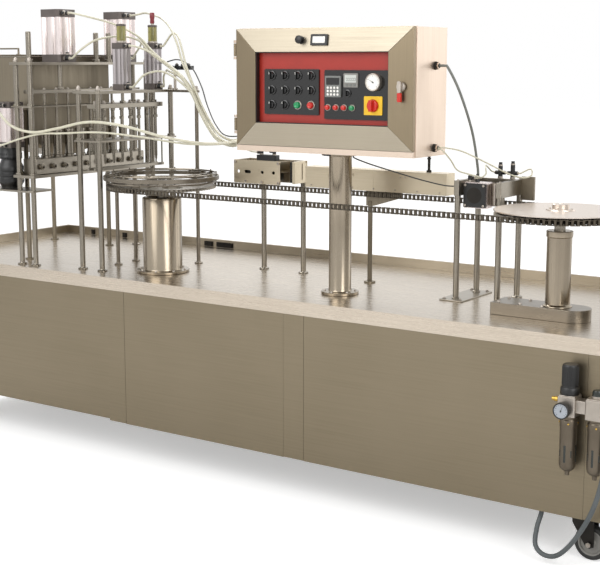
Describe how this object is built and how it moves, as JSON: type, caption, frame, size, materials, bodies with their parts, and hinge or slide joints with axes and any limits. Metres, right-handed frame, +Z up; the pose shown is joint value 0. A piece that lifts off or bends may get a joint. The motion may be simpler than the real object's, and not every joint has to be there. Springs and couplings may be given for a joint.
{
  "type": "ice pop packing machine",
  "caption": "Mobile stainless bench that fills, heats and seals ice pops in bags carried round on a flat roller chain, with a control box on a column.",
  "frame": {"origin": "floor level under the middle of the overall box", "axes": "+X along the bench from the pumps to the tail wheel, +Y from the operator's side to the rear, +Z up"},
  "size_m": [3.477, 1.085, 1.9383],
  "materials": {
    "worktop_stainless": "fine brushed stainless sheet",
    "cabinet_steel": "brushed brown-grey stainless panels",
    "caster_steel": "black coated steel",
    "caster_rubber": "black rubber tread on a grey hub",
    "polished_stainless": "polished turned stainless",
    "stainless": "brushed and machined stainless",
    "gearmotor_paint": "grey enamel",
    "chain_steel": "oiled dark steel",
    "red_panel": "red coated sheet, satin",
    "black_plastic": "black moulded plastic",
    "green_plastic": "green moulded plastic",
    "red_plastic": "red moulded plastic",
    "aluminium": "clear anodised aluminium",
    "black_aluminium": "black anodised aluminium",
    "air_tube": "cream polyurethane tube",
    "cable_sheath": "grey sheath",
    "hose_rubber": "grey rubber hose"
  },
  "bodies": {
    "machine": {"bench_rim": "worktop_stainless", "bench_worktop": "worktop_stainless", "bench_frame": "cabinet_steel", "front_panel_left": "cabinet_steel", "front_panel_middle": "cabinet_steel", "front_panel_right": "cabinet_steel", "rear_panel": "cabinet_steel", "drive_column": "polished_stainless", "drive_gearmotor": "gearmotor_paint", "tail_column": "polished_stainless", "roller_chain": "chain_steel", "guide_ring": "stainless", "box_column": "polished_stainless", "box_shell": "stainless", "heat_channel": "stainless", "channel_post": "chain_steel", "station1_frame": "stainless", "station1_cylinder": "black_aluminium", "station2_frame": "stainless", "station2_cylinder": "aluminium", "hopper_tank": "stainless", "pump_frame": "stainless", "pump_barrels": "stainless", "pump_cylinder_front": "aluminium", "pump_cylinder_rear": "aluminium", "fill_frame": "stainless", "fill_cylinder_front": "aluminium", "fill_cylinder_rear": "aluminium", "dosing_valve": "black_aluminium", "valve_cylinder": "aluminium", "filter_regulator": "aluminium", "lubricator": "aluminium", "air_harness": "air_tube", "sensor_cable": "cable_sheath", "supply_hose": "hose_rubber"},
    "drive_wheel": {"drive_sprocket": "stainless"},
    "tail_wheel": {"tail_sprocket": "stainless", "tail_cover_disc": "polished_stainless"},
    "door": {"box_door": "polished_stainless", "door_panel": "red_panel", "selector_block": "black_plastic", "instrument_block": "black_plastic"},
    "start_push": {"start_button": "green_plastic"},
    "stop_push": {"stop_button": "red_plastic"},
    "isolator": {"isolator_knob": "red_plastic"},
    "latch": {"door_latch": "aluminium"},
    "crosshead": {"pump_crosshead": "polished_stainless"},
    "carriage": {"nozzle_carriage": "stainless"},
    "jaw_one": {"station1_jaw": "black_aluminium"},
    "jaw_two": {"station2_jaw": "black_aluminium"},
    "lid": {"hopper_lid": "stainless"},
    "pressure_knob": {"regulator_knob": "black_plastic"},
    "swivel_front_left": {"caster_fork_front_left": "caster_steel"},
    "roller_front_left": {"caster_wheel_front_left": "caster_rubber"},
    "swivel_front_right": {"caster_fork_front_right": "caster_steel"},
    "roller_front_right": {"caster_wheel_front_right": "caster_rubber"},
    "swivel_rear_left": {"caster_fork_rear_left": "caster_steel"},
    "roller_rear_left": {"caster_wheel_rear_left": "caster_rubber"},
    "swivel_rear_right": {"caster_fork_rear_right": "caster_steel"},
    "roller_rear_right": {"caster_wheel_rear_right": "caster_rubber"}
  },
  "joints": [
    {"name": "caster_swivel_front_left", "type": "hinge", "parent": "machine", "child": "swivel_front_left", "pos_m": [-1.588, -0.3525, 0.1627], "axis": [0, 0, 1], "continuous": true},
    {"name": "caster_roll_front_left", "type": "hinge", "parent": "swivel_front_left", "child": "roller_front_left", "pos_m": [-1.552, -0.3525, 0.0625], "axis": [0, 1, 0], "continuous": true},
    {"name": "caster_swivel_front_right", "type": "hinge", "parent": "machine", "child": "swivel_front_right", "pos_m": [1.588, -0.3525, 0.1627], "axis": [0, 0, 1], "continuous": true},
    {"name": "caster_roll_front_right", "type": "hinge", "parent": "swivel_front_right", "child": "roller_front_right", "pos_m": [1.624, -0.3525, 0.0625], "axis": [0, 1, 0], "continuous": true},
    {"name": "caster_swivel_rear_left", "type": "hinge", "parent": "machine", "child": "swivel_rear_left", "pos_m": [-1.588, 0.4575, 0.1627], "axis": [0, 0, 1], "continuous": true},
    {"name": "caster_roll_rear_left", "type": "hinge", "parent": "swivel_rear_left", "child": "roller_rear_left", "pos_m": [-1.552, 0.4575, 0.0625], "axis": [0, 1, 0], "continuous": true},
    {"name": "caster_swivel_rear_right", "type": "hinge", "parent": "machine", "child": "swivel_rear_right", "pos_m": [1.588, 0.4575, 0.1627], "axis": [0, 0, 1], "continuous": true},
    {"name": "caster_roll_rear_right", "type": "hinge", "parent": "swivel_rear_right", "child": "roller_rear_right", "pos_m": [1.624, 0.4575, 0.0625], "axis": [0, 1, 0], "continuous": true},
    {"name": "drive_spin", "type": "hinge", "parent": "machine", "child": "drive_wheel", "pos_m": [-0.45685, -0.1775, 1.173], "axis": [0, 0, 1], "continuous": true, "deforming": ["roller_chain"]},
    {"name": "tail_spin", "type": "hinge", "parent": "machine", "child": "tail_wheel", "pos_m": [1.391, -0.1775, 1.173], "axis": [0, 0, 1], "continuous": true},
    {"name": "door_swing", "type": "hinge", "parent": "machine", "child": "door", "pos_m": [0.069, -0.3308, 1.383], "axis": [0, 0, -1], "range_deg": [0, 110]},
    {"name": "start_press", "type": "slide", "parent": "door", "child": "start_push", "axis": [0, 1, 0], "range_m": [0, 0.003], "stiffness_N_per_m": 400},
    {"name": "stop_press", "type": "slide", "parent": "door", "child": "stop_push", "axis": [0, 1, 0], "range_m": [0, 0.003], "stiffness_N_per_m": 400},
    {"name": "isolator_turn", "type": "hinge", "parent": "door", "child": "isolator", "pos_m": [0.705, -0.3321, 1.547], "axis": [0, 1, 0], "range_deg": [0, 90]},
    {"name": "latch_turn", "type": "hinge", "parent": "door", "child": "latch", "pos_m": [0.833, -0.34503, 1.618], "axis": [0, 1, 0], "range_deg": [0, 90]},
    {"name": "pump_stroke", "type": "slide", "parent": "machine", "child": "crosshead", "axis": [0, 0, 1], "range_m": [-0.05, 0.045]},
    {"name": "nozzle_stroke", "type": "slide", "parent": "machine", "child": "carriage", "axis": [0, 0, 1], "range_m": [-0.035, 0.03]},
    {"name": "jaw_one_close", "type": "slide", "parent": "machine", "child": "jaw_one", "axis": [0, 1, 0], "range_m": [0, 0.0255]},
    {"name": "jaw_two_close", "type": "slide", "parent": "machine", "child": "jaw_two", "axis": [0, 1, 0], "range_m": [0, 0.0255]},
    {"name": "lid_lift", "type": "hinge", "parent": "machine", "child": "lid", "pos_m": [-1.395, 0.2765, 1.7353], "axis": [-1, 0, 0], "range_deg": [0, 95]},
    {"name": "pressure_turn", "type": "hinge", "parent": "machine", "child": "pressure_knob", "pos_m": [1.573, -0.4765, 0.6123], "axis": [0, 0, 1], "range_deg": [-180, 180]}
  ],
  "couplings": [
    {"joint": "tail_spin", "follows": "drive_spin", "ratio": 1}
  ]
}
